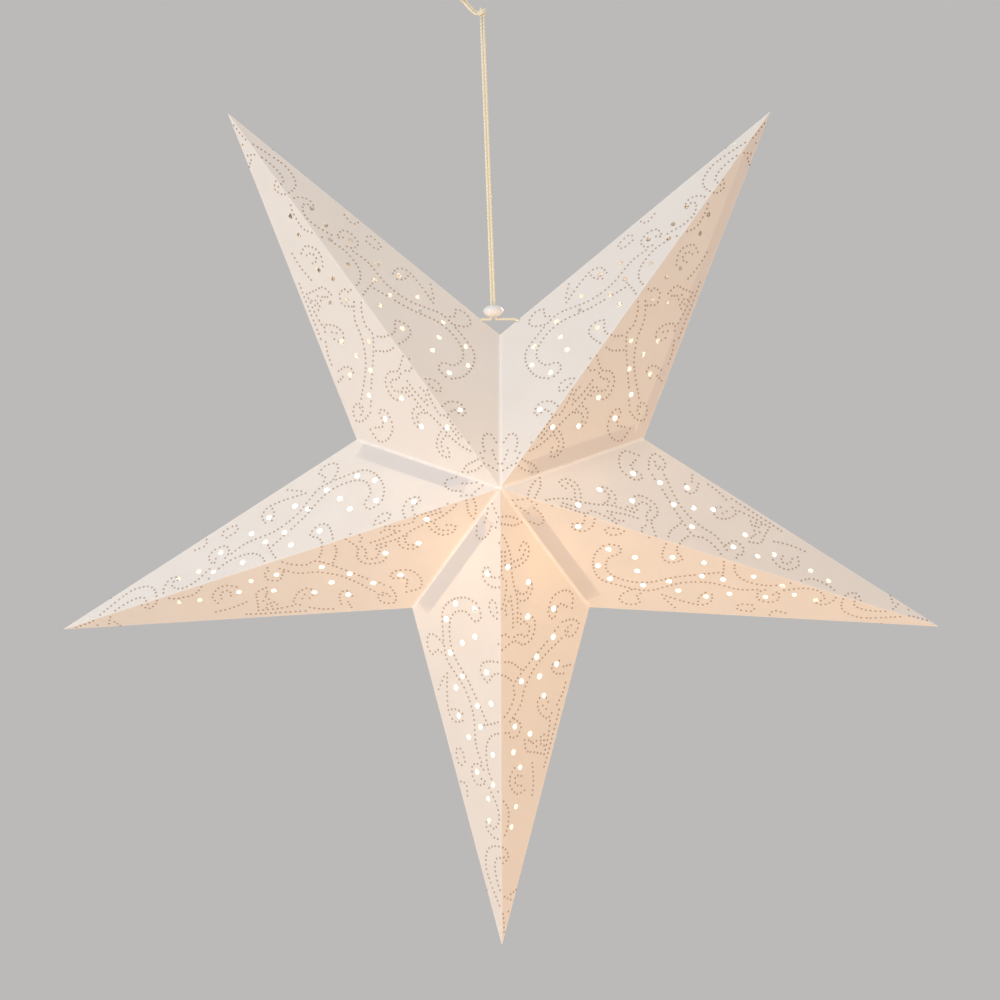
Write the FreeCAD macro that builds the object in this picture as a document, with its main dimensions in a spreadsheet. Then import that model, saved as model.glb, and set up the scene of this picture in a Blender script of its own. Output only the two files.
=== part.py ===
"""Folding paper star pendant with a drawstring bead and a battery lamp inside.

Millimetres. +Z is up, the star's front faces -Y and it hangs in the XZ plane.
The origin is under the knot of the string, where a hook goes between the two strands.
"""
import FreeCAD, Part
import Sketcher
import math
import os

Vector = FreeCAD.Vector

# --------------------------------------------------------------------------- sizes
SIZES = [
    # the star
    ("tip_radius", 315.0),
    ("notch_radius", 103.0),
    ("half_depth", 75.0),
    ("paper_thickness", 0.3),
    ("fold_gap", 0.4),
    ("centre_right", 11.3),
    ("centre_drop", 320.4),
    ("punched_diameter", 3.6),
    ("string_hole_diameter", 5.0),
    ("string_hole_from_notch", 16.0),
    # glue flaps
    ("valley_flap_width", 12.5),
    ("valley_flap_start", 22.0),
    ("valley_flap_end_gap", 7.0),
    ("valley_flap_taper", 16.0),
    ("rim_flap_width", 9.0),
    ("rim_flap_notch_gap", 20.0),
    ("rim_flap_tip_gap", 12.0),
    ("flap_fold_gap", 1.2),
    # string and bead
    ("string_diameter", 1.7),
    ("strand_gap", 0.1),
    ("knot_width", 5.4),
    ("knot_height", 6.6),
    ("bead_left", 4.46),
    ("bead_above_notch", 16.4),
    ("bead_width", 13.8),
    ("bead_height", 8.4),
    ("bead_bore", 3.9),
    ("inner_span_below_notch", 9.0),
    ("inner_span_length", 12.0),
    # lamp
    ("hook_wire", 1.6),
    ("hook_inner_radius", 2.2),
    ("hook_seat_gap", 0.1),
    ("hook_point_length", 2.2),
    ("housing_diameter", 46.0),
    ("housing_wall", 1.5),
    ("housing_floor", 2.0),
    ("housing_base_rise", 2.0),
    ("housing_skirt", 5.0),
    ("cap_plate", 3.0),
    ("cap_spigot", 3.0),
    ("cap_boss_height", 4.0),
    ("cap_boss_diameter", 9.0),
    ("fit_clearance", 0.05),
    ("cell_diameter", 10.5),
    ("cell_length", 44.5),
    ("cell_nub_diameter", 3.8),
    ("cell_nub_height", 0.8),
    ("cell_circle_radius", 8.2),
    ("cell_clearance", 0.1),
    ("spring_height", 3.0),
    ("spring_diameter", 7.0),
    ("contact_thickness", 0.4),
    ("holder_disc", 3.0),
    ("holder_post_diameter", 5.0),
    ("holder_end_gap", 6.0),
    ("board_side_gap", 1.95),
    ("board_thickness", 1.6),
    ("led_side", 3.5),
    ("led_height", 1.6),
    ("led_circle_radius", 7.0),
    ("screw_diameter", 2.0),
    ("screw_head_diameter", 3.8),
    ("screw_head_height", 1.3),
    ("screw_depth", 1.5),
    ("screw_from_board_edge", 4.0),
    ("switch_width", 5.0),
    ("switch_height", 6.0),
    ("switch_travel", 4.0),
    ("switch_stand_out", 1.4),
    ("switch_flange", 1.5),
    ("switch_rise", 22.0),
    ("switch_clearance", 0.1),
    ("globe_diameter", 56.0),
    ("globe_wall", 1.5),
]

CELL_COUNT = 3
LED_COUNT = 3
SCREW_COUNT = 2

# The five points, named as they are seen from the front, with their angle from +X.
POINTS = [
    ("upper_right", 54.0),
    ("right", -18.0),
    ("bottom", -90.0),
    ("left", -162.0),
    ("upper_left", 126.0),
]
HALF_POINT = 36.0
# The sheet of this point is glued the other way round from the rest.
TURNED_POINT = "upper_right"
# The two halves beside the open seam, each with a string hole in its rim fold.
SEAM_HALVES = [("upper_right", "left"), ("upper_left", "right")]

# Larger round holes, placed by hand: distance from the front centre along the ridge,
# and distance from the ridge. Left and right are as seen with the point upwards.
PUNCHED_LEFT = [
    (56.0, 6.5),
    (70.0, 25.0),
    (94.0, 24.5),
    (93.0, 48.0),
    (113.0, 47.5),
    (124.0, 32.5),
    (133.0, 50.5),
    (138.5, 35.0),
    (138.5, 18.5),
    (153.0, 39.0),
    (169.5, 12.5),
    (177.5, 26.0),
    (187.5, 11.0),
    (199.5, 17.0),
    (227.0, 13.0),
    (240.5, 9.0),
]
PUNCHED_RIGHT = [
    (61.5, 12.0),
    (88.5, 23.5),
    (88.0, 41.0),
    (100.5, 49.5),
    (108.0, 23.5),
    (114.5, 35.0),
    (123.5, 46.0),
    (131.0, 13.0),
    (138.0, 35.0),
    (147.5, 41.0),
    (152.5, 9.0),
    (156.5, 21.5),
    (167.0, 38.5),
    (171.0, 18.5),
    (180.5, 29.5),
    (188.5, 7.5),
    (204.0, 22.0),
    (210.0, 7.5),
    (221.0, 12.0),
    (236.5, 11.0),
]

doc = FreeCAD.newDocument("paper_star")
sheet = doc.addObject("Spreadsheet::Sheet", "sizes")
for row, (name, value) in enumerate(SIZES, start=1):
    sheet.set("A%d" % row, name)
    sheet.set("B%d" % row, str(value))
    sheet.setAlias("B%d" % row, name)
doc.recompute()

size = {name: float(sheet.get(name)) for name, value in SIZES}
sub_parts = []


def star_point(x, y, z):
    """A place given from the star's centre, in the part's frame."""
    return Vector(size["centre_right"] + x, y, z - size["centre_drop"])


def star_placement(x, y, z):
    return FreeCAD.Placement(star_point(x, y, z), FreeCAD.Rotation())


def polar(radius, degrees, height=0.0):
    """A place around the star's upright axis, as used inside the lamp."""
    angle = math.radians(degrees)
    return radius * math.cos(angle), radius * math.sin(angle), height


def keep(item, label):
    """Name an object as one sub-part of the pendant."""
    item.Label = label
    sub_parts.append(item)
    return item


def bind(item, **cells):
    for prop, expression in cells.items():
        item.setExpression(prop, expression)


# --------------------------------------------------------------------------- paper geometry
def star_rim(radius, degrees):
    """A tip or a notch in the star's middle plane."""
    angle = math.radians(degrees)
    return star_point(radius * math.cos(angle), 0, radius * math.sin(angle))


half_point = math.radians(HALF_POINT)
ridge_length = math.hypot(size["tip_radius"], size["half_depth"])
valley_length = math.hypot(size["notch_radius"], size["half_depth"])
rim_length = math.sqrt(
    size["tip_radius"] ** 2
    + size["notch_radius"] ** 2
    - 2 * size["tip_radius"] * size["notch_radius"] * math.cos(half_point)
)
centre_angle = math.acos(
    (ridge_length**2 + valley_length**2 - rim_length**2) / (2 * ridge_length * valley_length)
)
CENTRE = (0.0, 0.0)
TIP = (ridge_length, 0.0)
NOTCH = (valley_length * math.cos(centre_angle), valley_length * math.sin(centre_angle))


def along_edge(start, end, distance, depth):
    """Place at a distance along an edge of the panel, at a depth to the left of it."""
    length = math.dist(start, end)
    along_x = (end[0] - start[0]) / length
    along_y = (end[1] - start[1]) / length
    return (
        start[0] + along_x * distance - along_y * depth,
        start[1] + along_y * distance + along_x * depth,
    )


def crossing(start_a, end_a, start_b, end_b):
    """Where two lines cross."""
    ax, ay = end_a[0] - start_a[0], end_a[1] - start_a[1]
    bx, by = end_b[0] - start_b[0], end_b[1] - start_b[1]
    reach = ((start_b[0] - start_a[0]) * by - (start_b[1] - start_a[1]) * bx) / (ax * by - ay * bx)
    return start_a[0] + ax * reach, start_a[1] + ay * reach


def inset(corners, gap):
    """Corners of an anticlockwise polygon whose edges are moved in by a gap."""
    lines = []
    for index, corner in enumerate(corners):
        following = corners[(index + 1) % len(corners)]
        length = math.dist(corner, following)
        lines.append(
            (along_edge(corner, following, 0, gap), along_edge(corner, following, length, gap))
        )
    return [crossing(*lines[index - 1], *lines[index]) for index in range(len(lines))]


def panel_placement(point_angle, side, half, lift):
    """Local X runs along the ridge from the centre, local Y across the panel.

    lift is how far the piece's inner face lies outside the middle of the panel's paper.
    """
    facing = -1 if side == "front" else 1
    turn = 1 if half == "left" else -1
    centre = star_point(0, facing * size["half_depth"], 0)
    x_axis = (star_rim(size["tip_radius"], point_angle) - centre).normalize()
    to_notch = star_rim(size["notch_radius"], point_angle + turn * HALF_POINT) - centre
    y_axis = (to_notch - x_axis * x_axis.dot(to_notch)).normalize()
    z_axis = x_axis.cross(y_axis)
    if z_axis.y * facing < 0:
        lift = -lift - size["paper_thickness"]
    rotation = FreeCAD.Rotation(x_axis, y_axis, z_axis, "XYZ")
    return FreeCAD.Placement(centre + z_axis * lift, rotation)


# --------------------------------------------------------------------------- sketch helpers
def origin_plane(body, role):
    for feature in body.Origin.OriginFeatures:
        if feature.Role == role:
            return feature


def new_sketch(body, name, role="XY_Plane"):
    sketch = body.newObject("Sketcher::SketchObject", name)
    sketch.AttachmentSupport = (origin_plane(body, role), [""])
    sketch.MapMode = "FlatFace"
    return sketch


def add_outline(sketch, corners):
    """Closed outline of straight lines, corner to corner."""
    count = len(corners)
    for index, (x, y) in enumerate(corners):
        next_x, next_y = corners[(index + 1) % count]
        sketch.addGeometry(Part.LineSegment(Vector(x, y, 0), Vector(next_x, next_y, 0)), False)
    for index in range(count):
        ends = (index, 2, (index + 1) % count, 1)
        sketch.addConstraint(Sketcher.Constraint("Coincident", *ends))


def add_circle(sketch, centre, diameter):
    """Circle whose diameter follows a named size."""
    circle = Part.Circle(Vector(centre[0], centre[1], 0), Vector(0, 0, 1), size[diameter] / 2)
    index = sketch.addGeometry(circle, False)
    rule = sketch.addConstraint(Sketcher.Constraint("Diameter", index, size[diameter]))
    sketch.setExpression("Constraints[%d]" % rule, "sizes." + diameter)


# --------------------------------------------------------------------------- paper pieces
def paper_piece(label, corners, placement, punched=()):
    """A flat piece of the folded sheet, with its round holes."""
    body = doc.addObject("PartDesign::Body", label)
    sketch = new_sketch(body, label + "_outline")
    add_outline(sketch, corners)
    for centre in punched:
        add_circle(sketch, centre, "punched_diameter")
    pad = body.newObject("PartDesign::Pad", label + "_sheet")
    pad.Profile = sketch
    bind(pad, Length="sizes.paper_thickness")
    body.Placement = placement
    return keep(body, label)


def cut_string_hole(body, label):
    """This panel's half of the hole that goes through the rim fold for the string."""
    sketch = new_sketch(body, label + "_string_hole")
    centre = along_edge(NOTCH, TIP, size["string_hole_from_notch"], 0)
    add_circle(sketch, centre, "string_hole_diameter")
    pocket = body.newObject("PartDesign::Pocket", label + "_string_cut")
    pocket.Profile = sketch
    pocket.Type = "ThroughAll"
    pocket.Reversed = True


panel_corners = inset([CENTRE, TIP, NOTCH], size["fold_gap"])
panel_inner_face = -size["paper_thickness"] / 2
for point, angle in POINTS:
    for side in ("front", "back"):
        for half in ("left", "right"):
            # The pattern is mirrored on the turned sheet and seen mirrored from behind.
            mirrored = (point == TURNED_POINT) != (side == "back")
            left_pattern = (half == "left") != mirrored
            punched = PUNCHED_LEFT if left_pattern else PUNCHED_RIGHT
            label = "%s_point_%s_%s_panel" % (point, side, half)
            placement = panel_placement(angle, side, half, panel_inner_face)
            panel = paper_piece(label, panel_corners, placement, punched)
            if (point, half) in SEAM_HALVES:
                cut_string_hole(panel, label)

# Each glue flap lies on the inside of the right panel of its point.
flap_inner_face = panel_inner_face - size["paper_thickness"]
valley_flap_far_end = valley_length - size["valley_flap_start"]
valley_flap = [
    along_edge(NOTCH, CENTRE, size["valley_flap_end_gap"], size["flap_fold_gap"]),
    along_edge(NOTCH, CENTRE, valley_flap_far_end, size["flap_fold_gap"]),
    along_edge(
        NOTCH,
        CENTRE,
        valley_flap_far_end - size["valley_flap_taper"],
        size["valley_flap_width"],
    ),
    along_edge(
        NOTCH,
        CENTRE,
        size["valley_flap_end_gap"] + size["valley_flap_width"] / 2,
        size["valley_flap_width"],
    ),
]
rim_flap_far_end = rim_length - size["rim_flap_notch_gap"]
rim_flap = [
    along_edge(TIP, NOTCH, size["rim_flap_tip_gap"], size["flap_fold_gap"]),
    along_edge(TIP, NOTCH, rim_flap_far_end, size["flap_fold_gap"]),
    along_edge(TIP, NOTCH, rim_flap_far_end, size["rim_flap_width"]),
    along_edge(
        TIP,
        NOTCH,
        size["rim_flap_tip_gap"] + 3 * size["rim_flap_width"],
        size["rim_flap_width"],
    ),
]
for point, angle in POINTS:
    rim_side = "front" if point == TURNED_POINT else "back"
    label = "%s_point_rim_flap" % point
    paper_piece(label, rim_flap, panel_placement(angle, rim_side, "right", flap_inner_face))
    if (point, "right") in SEAM_HALVES:
        continue
    for side in ("front", "back"):
        label = "%s_point_%s_valley_flap" % (point, side)
        paper_piece(label, valley_flap, panel_placement(angle, side, "right", flap_inner_face))

# --------------------------------------------------------------------------- string
BEND_SHARE = 0.45


def rounded_path(label, points):
    """Straight runs joined by tangent arcs, as large as the two runs allow."""
    edges = []
    start = points[0]
    for index in range(1, len(points) - 1):
        corner = points[index]
        back = points[index - 1] - corner
        ahead = points[index + 1] - corner
        half_turn = (math.pi - back.getAngle(ahead)) / 2
        setback = BEND_SHARE * min(back.Length, ahead.Length)
        radius = setback / math.tan(half_turn)
        print("%s bend %d radius %.2f mm" % (label, index, radius))
        back.normalize()
        ahead.normalize()
        first = corner + back * setback
        last = corner + ahead * setback
        inward = (back + ahead).normalize()
        top = corner + inward * (radius / math.cos(half_turn) - radius)
        edges.append(Part.LineSegment(start, first).toShape())
        edges.append(Part.Arc(first, top, last).toShape())
        start = last
    edges.append(Part.LineSegment(start, points[-1]).toShape())
    return Part.Wire(edges)


def tube_shape(label, points, diameter):
    """Round tube along a route of points."""
    path = rounded_path(label, points)
    profile = Part.Wire([Part.makeCircle(diameter / 2, points[0], points[1] - points[0])])
    tube = path.makePipeShell([profile], True, False)
    ideal = math.pi * diameter**2 / 4 * path.Length
    print("%s length %.2f mm, volume ratio %.4f" % (label, path.Length, tube.Volume / ideal))
    return tube


def shaped_piece(label, shape):
    piece = doc.addObject("Part::Feature", label)
    piece.Shape = shape
    return keep(piece, label)


def string_piece(label, points):
    return shaped_piece(label, tube_shape(label, points, size["string_diameter"]))


bead_centre = star_point(-size["bead_left"], 0, size["notch_radius"] + size["bead_above_notch"])
string_way = Vector(bead_centre).normalize()
string_across = string_way.cross(Vector(0, 1, 0)).normalize()
strand_offset = (size["string_diameter"] + size["strand_gap"]) / 2

# Each strand is taut down to the bead and turns out under it. Its leg goes through the hole
# in the rim fold and round to the inner span. Its places are out from the star's middle and
# up from the notch.
TURN_BELOW_BEAD = 1.9
TURN_LENGTH = 3.9
LEG_ROUTE = [(13.3, 10.9), (15.4, 6.0), (13.9, -3.0), (10.8, -9.0)]
span_rise = size["notch_radius"] - size["inner_span_below_notch"]
span_end = size["inner_span_length"] / 2
turn_distance = bead_centre.Length + size["bead_height"] / 2 + TURN_BELOW_BEAD
for label, sign in (("left", -1), ("right", 1)):
    top = string_across * (sign * strand_offset)
    turn = string_way * turn_distance + top
    route = [star_point(sign * x, 0, size["notch_radius"] + z) for x, z in LEG_ROUTE]
    strand_end = turn + (route[0] - turn).normalize() * TURN_LENGTH
    string_piece(label + "_strand", [top, turn, strand_end])
    route.append(star_point(sign * span_end, 0, span_rise))
    string_piece(label + "_leg", [strand_end] + route)
span_from = star_point(-span_end, 0, span_rise)
span_to = star_point(span_end, 0, span_rise)
string_piece("inner_span", [span_from, span_to])

# The knot closes the loop, and its two short ends go up to the left.
KNOT_END_ROUTE = [(-1.6, 2.0), (-4.9, 2.2), (-8.9, 6.6), (-13.2, 11.4)]
knot_ball = doc.addObject("Part::Ellipsoid", "knot_ball")
bind(knot_ball, Radius1="sizes.knot_height / 2", Radius2="sizes.knot_width / 2")
knot_ball.Placement = FreeCAD.Placement(Vector(0, 0, size["knot_height"] / 2), FreeCAD.Rotation())
knot_ends = doc.addObject("Part::Feature", "knot_ends")
end_tubes = []
for sign in (-1, 1):
    route = [Vector(x, sign * strand_offset, z) for x, z in KNOT_END_ROUTE]
    end_tubes.append(tube_shape("knot_end", route, size["string_diameter"]))
knot_ends.Shape = Part.makeCompound(end_tubes)
knot = doc.addObject("Part::MultiFuse", "knot")
knot.Shapes = [knot_ball, knot_ends]
keep(knot, "knot")

# The bead slides on both strands.
bead_blank = doc.addObject("Part::Ellipsoid", "bead_blank")
bind(bead_blank, Radius1="sizes.bead_height / 2", Radius2="sizes.bead_width / 2")
bead_bore = doc.addObject("Part::Cylinder", "bead_bore")
bind(bead_bore, Radius="sizes.bead_bore / 2", Height="sizes.bead_height")
along_string = FreeCAD.Rotation(Vector(0, 0, -1), string_way)
bead_blank.Placement = FreeCAD.Placement(bead_centre, along_string)
bead_top = bead_centre - string_way * (size["bead_height"] / 2)
bead_bore.Placement = FreeCAD.Placement(bead_top, FreeCAD.Rotation(Vector(0, 0, 1), string_way))
bead = doc.addObject("Part::Cut", "bead")
bead.Base = bead_blank
bead.Tool = bead_bore
keep(bead, "bead")


# --------------------------------------------------------------------------- lamp
def cylinder(name, radius, height, place):
    """Upright cylinder from the sheet, its foot at a place from the star's centre."""
    item = doc.addObject("Part::Cylinder", name)
    bind(item, Radius=radius, Height=height)
    item.Placement = star_placement(*place)
    return item


def box(name, length, width, height, place):
    """Box from the sheet, centred on its place across, its foot at the place."""
    item = doc.addObject("Part::Box", name)
    bind(item, Length=length, Width=width, Height=height)
    doc.recompute()
    x, y, z = place
    item.Placement = star_placement(x - item.Length.Value / 2, y - item.Width.Value / 2, z)
    return item


def fused(name, *items):
    item = doc.addObject("Part::MultiFuse", name)
    item.Shapes = list(items)
    return item


def cut(name, base, *tools):
    item = doc.addObject("Part::Cut", name)
    item.Base = base
    item.Tool = tools[0] if len(tools) == 1 else fused(name + "_tools", *tools)
    return item


def around(count, radius, height, first_angle=90.0):
    """Places spaced evenly round the lamp's axis."""
    step = 360.0 / count
    return [polar(radius, first_angle + index * step, height) for index in range(count)]


# Heights of the lamp's stack, from the star's centre.
floor_bottom = size["housing_base_rise"]
floor_top = floor_bottom + size["housing_floor"]
cell_bottom = floor_top + size["spring_height"]
cell_shoulder = cell_bottom + size["cell_length"] - size["cell_nub_height"]
contact_bottom = cell_bottom + size["cell_length"] + size["fit_clearance"]
spigot_bottom = contact_bottom + size["contact_thickness"]
housing_top = spigot_bottom + size["cap_spigot"]
cap_bottom = housing_top + size["fit_clearance"]
cap_top = cap_bottom + size["cap_plate"]
boss_top = cap_top + size["cap_boss_height"]
board_bottom = floor_bottom - size["board_thickness"]
skirt_bottom = floor_bottom - size["housing_skirt"]
housing_height = housing_top - skirt_bottom

# Wire hook: its stem stands in the cap's boss and its bend hangs over the inner span.
hook_radius = size["hook_inner_radius"] + size["hook_wire"] / 2
hook_top = span_rise + size["string_diameter"] / 2 + size["hook_seat_gap"]
hook_middle = hook_top - size["hook_inner_radius"]
stem_shoulder = hook_middle - 2 * hook_radius
hook_back = star_point(0, hook_radius, hook_middle)
hook_front = star_point(0, -hook_radius, hook_middle)
stem = [
    star_point(0, 0, cap_bottom),
    star_point(0, 0, stem_shoulder),
    star_point(0, hook_radius, stem_shoulder + hook_radius),
    hook_back,
]
stem_path = rounded_path("lamp_hook", stem)
over = Part.Arc(hook_back, star_point(0, 0, hook_middle + hook_radius), hook_front).toShape()
hook_point = hook_front - Vector(0, 0, size["hook_point_length"])
hook_path = Part.Wire(stem_path.Edges + [over, Part.LineSegment(hook_front, hook_point).toShape()])
hook_section = Part.Wire([Part.makeCircle(size["hook_wire"] / 2, stem[0], Vector(0, 0, 1))])
shaped_piece("lamp_hook", hook_path.makePipeShell([hook_section], True, False))

# Battery cap: a plate with a boss above and a spigot inside the housing.
cap_disc = cylinder("cap_disc", "sizes.housing_diameter / 2", "sizes.cap_plate", (0, 0, cap_bottom))
cap_spigot = cylinder(
    "cap_spigot",
    "sizes.housing_diameter / 2 - sizes.housing_wall - sizes.fit_clearance",
    "sizes.cap_spigot + sizes.fit_clearance",
    (0, 0, spigot_bottom),
)
cap_boss = cylinder(
    "cap_boss",
    "sizes.cap_boss_diameter / 2",
    "sizes.cap_boss_height",
    (0, 0, cap_top),
)
stem_bore = cylinder(
    "stem_bore",
    "sizes.hook_wire / 2 + sizes.fit_clearance",
    "sizes.cap_plate + sizes.cap_boss_height",
    (0, 0, cap_bottom),
)
cap_body = fused("cap_body", cap_disc, cap_spigot, cap_boss)
keep(cut("battery_cap", cap_body, stem_bore), "battery_cap")

contact = cylinder(
    "top_contact",
    "sizes.cell_circle_radius + sizes.cell_diameter / 2",
    "sizes.contact_thickness",
    (0, 0, contact_bottom),
)
keep(contact, "top_contact")

# Battery housing: a tube with a floor, a skirt for the globe and a slot for the switch.
housing_blank = cylinder(
    "housing_blank",
    "sizes.housing_diameter / 2",
    str(housing_height),
    (0, 0, skirt_bottom),
)
bore_radius = "sizes.housing_diameter / 2 - sizes.housing_wall"
cell_bay = cylinder("cell_bay", bore_radius, str(housing_top - floor_top), (0, 0, floor_top))
globe_bay = cylinder("globe_bay", bore_radius, "sizes.housing_skirt", (0, 0, skirt_bottom))
switch_foot = floor_bottom + size["switch_rise"] - size["switch_height"] / 2
slot = box(
    "switch_slot",
    "sizes.switch_width + 2 * sizes.switch_clearance",
    "4 * sizes.housing_wall",
    "sizes.switch_height + sizes.switch_travel + 2 * sizes.switch_clearance",
    (0, size["housing_diameter"] / 2, switch_foot - size["switch_clearance"]),
)
bore_mm = size["housing_diameter"] / 2 - size["housing_wall"]
neck_radius = bore_mm - size["fit_clearance"]
board_radius = neck_radius - size["globe_wall"] - size["board_side_gap"]
screw_circle_radius = board_radius - size["screw_from_board_edge"]
screw_places = around(SCREW_COUNT, screw_circle_radius, floor_bottom, 0.0)
screw_bores = []
for index, place in enumerate(screw_places):
    screw_bores.append(
        cylinder(
            "screw_bore_%d" % index,
            "sizes.screw_diameter / 2 + sizes.fit_clearance",
            "sizes.screw_depth",
            place,
        )
    )
keep(
    cut("battery_housing", housing_blank, cell_bay, globe_bay, slot, *screw_bores),
    "battery_housing",
)

# Three cells on cone springs, held by a two-disc holder on a central post.
springs = []
for index, place in enumerate(around(CELL_COUNT, size["cell_circle_radius"], cell_bottom)):
    shell = cylinder(
        "cell_shell_%d" % index,
        "sizes.cell_diameter / 2",
        "sizes.cell_length - sizes.cell_nub_height",
        place,
    )
    nub_place = (place[0], place[1], cell_shoulder)
    nub = cylinder(
        "cell_nub_%d" % index, "sizes.cell_nub_diameter / 2", "sizes.cell_nub_height", nub_place
    )
    label = "battery_cell_%d" % (index + 1)
    keep(fused(label, shell, nub), label)
    spring = doc.addObject("Part::Cone", "spring_%d" % index)
    bind(
        spring,
        Radius1="sizes.spring_diameter / 2",
        Radius2="sizes.spring_diameter / 4",
        Height="sizes.spring_height",
    )
    spring.Placement = star_placement(place[0], place[1], floor_top)
    springs.append(spring)
spring_group = doc.addObject("Part::Compound", "cell_springs")
spring_group.Links = springs
keep(spring_group, "cell_springs")

disc_radius = bore_radius + " - sizes.fit_clearance"
lower_disc_foot = floor_top + size["holder_end_gap"]
upper_disc_foot = spigot_bottom - size["holder_end_gap"] - size["holder_disc"]
lower_disc = cylinder("lower_disc", disc_radius, "sizes.holder_disc", (0, 0, lower_disc_foot))
upper_disc = cylinder("upper_disc", disc_radius, "sizes.holder_disc", (0, 0, upper_disc_foot))
post_height = contact_bottom - size["fit_clearance"] - floor_top
post = cylinder("post", "sizes.holder_post_diameter / 2", str(post_height), (0, 0, floor_top))
cell_bores = []
for index, place in enumerate(around(CELL_COUNT, size["cell_circle_radius"], floor_top)):
    cell_bores.append(
        cylinder(
            "cell_bore_%d" % index,
            "sizes.cell_diameter / 2 + sizes.cell_clearance",
            str(post_height),
            place,
        )
    )
holder_blank = fused("holder_blank", lower_disc, upper_disc, post)
keep(cut("cell_holder", holder_blank, *cell_bores), "cell_holder")

# Slide switch: a knob in the slot with a flange behind the wall.
flange_half = size["switch_width"] / 2 + size["switch_flange"]
flange_face = math.sqrt(bore_mm**2 - flange_half**2) - size["switch_clearance"]
knob_face = size["housing_diameter"] / 2 + size["switch_stand_out"]
knob = box(
    "switch_knob",
    "sizes.switch_width",
    str(knob_face - flange_face),
    "sizes.switch_height",
    (0, (knob_face + flange_face) / 2, switch_foot),
)
flange = box(
    "switch_flange_plate",
    "sizes.switch_width + 2 * sizes.switch_flange",
    "sizes.switch_flange",
    "sizes.switch_height + 2 * sizes.switch_flange",
    (0, flange_face - size["switch_flange"] / 2, switch_foot - size["switch_flange"]),
)
keep(fused("switch_slider", knob, flange), "switch_slider")

# Light board under the floor, with its LEDs and screws.
board_blank = cylinder(
    "board_blank",
    disc_radius + " - sizes.globe_wall - sizes.board_side_gap",
    "sizes.board_thickness",
    (0, 0, board_bottom),
)
board_bores = []
screws = []
for index, (x, y, z) in enumerate(screw_places):
    board_bores.append(
        cylinder(
            "board_bore_%d" % index,
            "sizes.screw_diameter / 2 + sizes.fit_clearance",
            "sizes.board_thickness",
            (x, y, board_bottom),
        )
    )
    shank = cylinder(
        "screw_shank_%d" % index,
        "sizes.screw_diameter / 2",
        "sizes.board_thickness + sizes.screw_depth",
        (x, y, board_bottom),
    )
    head = cylinder(
        "screw_head_%d" % index,
        "sizes.screw_head_diameter / 2",
        "sizes.screw_head_height",
        (x, y, board_bottom - size["screw_head_height"]),
    )
    screws.append(fused("screw_%d" % index, shank, head))
keep(cut("light_board", board_blank, *board_bores), "light_board")
screw_group = doc.addObject("Part::Compound", "board_screws")
screw_group.Links = screws
keep(screw_group, "board_screws")

leds = []
led_foot = board_bottom - size["led_height"]
for index, place in enumerate(around(LED_COUNT, size["led_circle_radius"], led_foot)):
    leds.append(box("led_%d" % index, "sizes.led_side", "sizes.led_side", "sizes.led_height", place))
led_group = doc.addObject("Part::Compound", "leds")
led_group.Links = leds
keep(led_group, "leds")

# Frosted globe: a ball whose open neck stands inside the housing's skirt.
globe_radius = size["globe_diameter"] / 2
globe_centre = skirt_bottom - math.sqrt(globe_radius**2 - neck_radius**2)
neck_height = floor_bottom - size["fit_clearance"] - globe_centre


def globe_form(name, smaller, height):
    """Ball and neck together, made smaller all round by a wall."""
    ball = doc.addObject("Part::Sphere", name + "_ball")
    bind(ball, Radius="sizes.globe_diameter / 2" + smaller)
    ball.Placement = star_placement(0, 0, globe_centre)
    neck = cylinder(name + "_neck", disc_radius + smaller, height, (0, 0, globe_centre))
    return fused(name, ball, neck)


globe_outside = globe_form("globe_outside", "", str(neck_height))
globe_inside = globe_form("globe_inside", " - sizes.globe_wall", "sizes.globe_diameter / 2")
keep(cut("globe", globe_outside, globe_inside), "globe")

# --------------------------------------------------------------------------- check and write
doc.recompute()
for item in doc.Objects:
    for state in ("Invalid", "Error"):
        if state in item.State:
            raise RuntimeError("%s is %s" % (item.Name, state))
os.makedirs("parts", exist_ok=True)
total_volume = 0.0
for item in sub_parts:
    shape = item.Shape
    if shape.isNull() or not shape.isValid() or shape.Volume <= 0:
        raise RuntimeError("%s has no valid solid" % item.Label)
    total_volume += shape.Volume
    shape.exportStep(os.path.join("parts", item.Label + ".step"))
print("%d sub-parts, %.1f cm3" % (len(sub_parts), total_volume / 1000))
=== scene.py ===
"""Folding paper star pendant, hung on its drawstring, with the battery lamp lit inside it."""

import bpy
import math
from mathutils import Matrix, Vector


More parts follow.
